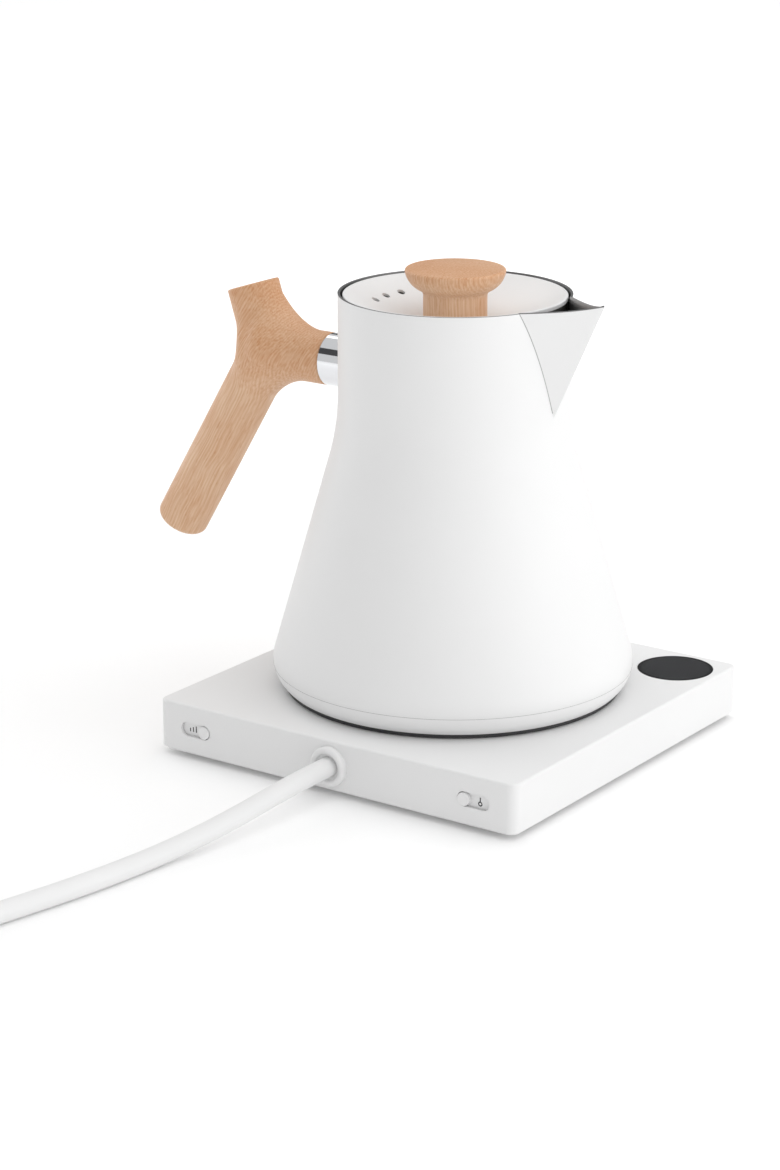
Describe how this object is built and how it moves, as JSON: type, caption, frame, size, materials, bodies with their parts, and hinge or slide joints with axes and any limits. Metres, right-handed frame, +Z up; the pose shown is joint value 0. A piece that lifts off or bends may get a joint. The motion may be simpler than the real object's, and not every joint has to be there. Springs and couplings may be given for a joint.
{
  "type": "electric kettle on power base",
  "caption": "Conical white electric kettle with folded V spout, wooden Y-shaped handle and lid knob, on a flat square power base with round display, dial, slide switches and mains cord.",
  "frame": {"origin": "on the surface the base stands on, under the kettle's axis, which is also the middle of the square base", "axes": "+X along the pouring spout, -X along the handle, -Y towards the base's cord side, +Z up"},
  "size_m": [0.2406, 0.4099, 0.196],
  "materials": {
    "white_paint": "matte white powder coat on steel",
    "white_plastic": "matte white moulded plastic",
    "black_plastic": "matte black moulded plastic",
    "stainless": "brushed stainless steel",
    "polished_chrome": "polished chrome plating",
    "pale_wood": "oiled maple, straight grain",
    "display_glass": "gloss black window",
    "foot_rubber": "soft grey rubber",
    "silicone": "translucent white silicone",
    "cord_jacket": "matte white PVC jacket",
    "contact_brass": "plain brass contacts",
    "blade_metal": "nickel-plated blades",
    "heater_aluminium": "cast aluminium",
    "board_laminate": "green circuit laminate",
    "component_case": "dark moulded component cases",
    "lead_insulation": "grey wire insulation"
  },
  "bodies": {
    "base": {"base_housing": "white_plastic", "base_bottom_plate": "white_plastic", "bottom_screws": "stainless", "foot_1": "foot_rubber", "foot_2": "foot_rubber", "foot_3": "foot_rubber", "foot_4": "foot_rubber", "display_window": "display_glass", "display_module": "component_case", "control_board": "board_laminate", "dial_encoder": "component_case", "hold_switch_body": "component_case", "unit_switch_body": "component_case", "base_coupler": "black_plastic", "coupler_screws": "stainless", "coupler_contacts": "contact_brass", "power_board": "board_laminate", "power_relay": "component_case", "power_transformer": "component_case", "mains_leads": "lead_insulation", "coupler_leads": "lead_insulation", "cord_clamp": "black_plastic", "inner_cord": "cord_jacket", "cord_grommet": "cord_jacket", "power_cord": "cord_jacket", "cord_coil": "cord_jacket", "cord_tail": "cord_jacket", "plug_body": "cord_jacket", "plug_blades": "blade_metal"},
    "dial_press": {"encoder_plunger": "component_case"},
    "dial": {"encoder_shaft": "stainless", "control_dial": "white_plastic"},
    "hold_switch": {"hold_slider": "white_plastic"},
    "unit_switch": {"unit_slider": "white_plastic"},
    "socket": {"kettle_socket": "black_plastic", "socket_contacts": "contact_brass"},
    "kettle": {"bottom_cover": "black_plastic", "base_ring": "white_plastic", "cover_screws": "stainless", "vessel_floor": "stainless", "heat_spreader": "heater_aluminium", "heating_element": "stainless", "temperature_sensor": "stainless", "thermal_cutouts": "component_case", "body_shell": "white_paint", "pour_spout": "white_paint", "handle_ferrule": "polished_chrome", "handle_stud": "stainless", "handle_grip": "pale_wood"},
    "lid": {"lid_disc": "white_paint", "lid_skirt": "stainless", "lid_baffle": "stainless", "lid_seal": "silicone", "knob_washer": "stainless", "knob_screw": "stainless", "lid_knob": "pale_wood"}
  },
  "joints": [
    {"name": "kettle_lift", "type": "slide", "parent": "base", "child": "socket", "axis": [0, 0, 1], "range_m": [0, 0.08]},
    {"name": "kettle_swivel", "type": "hinge", "parent": "socket", "child": "kettle", "pos_m": [0, 0, 0.023], "axis": [0, 0, 1], "continuous": true},
    {"name": "lid_lift", "type": "slide", "parent": "kettle", "child": "lid", "axis": [0, 0, 1], "range_m": [0, 0.06]},
    {"name": "dial_push", "type": "slide", "parent": "base", "child": "dial_press", "axis": [0, 0, -1], "range_m": [0, 0.0008], "stiffness_N_per_m": 4000, "springref_m": -0.0002},
    {"name": "dial_turn", "type": "hinge", "parent": "dial_press", "child": "dial", "pos_m": [-0.0665, 0.0665, 0.025], "axis": [0, 0, 1], "continuous": true},
    {"name": "hold_slide", "type": "slide", "parent": "base", "child": "hold_switch", "axis": [-1, 0, 0], "range_m": [0, 0.0086]},
    {"name": "unit_slide", "type": "slide", "parent": "base", "child": "unit_switch", "axis": [1, 0, 0], "range_m": [0, 0.0086]}
  ]
}
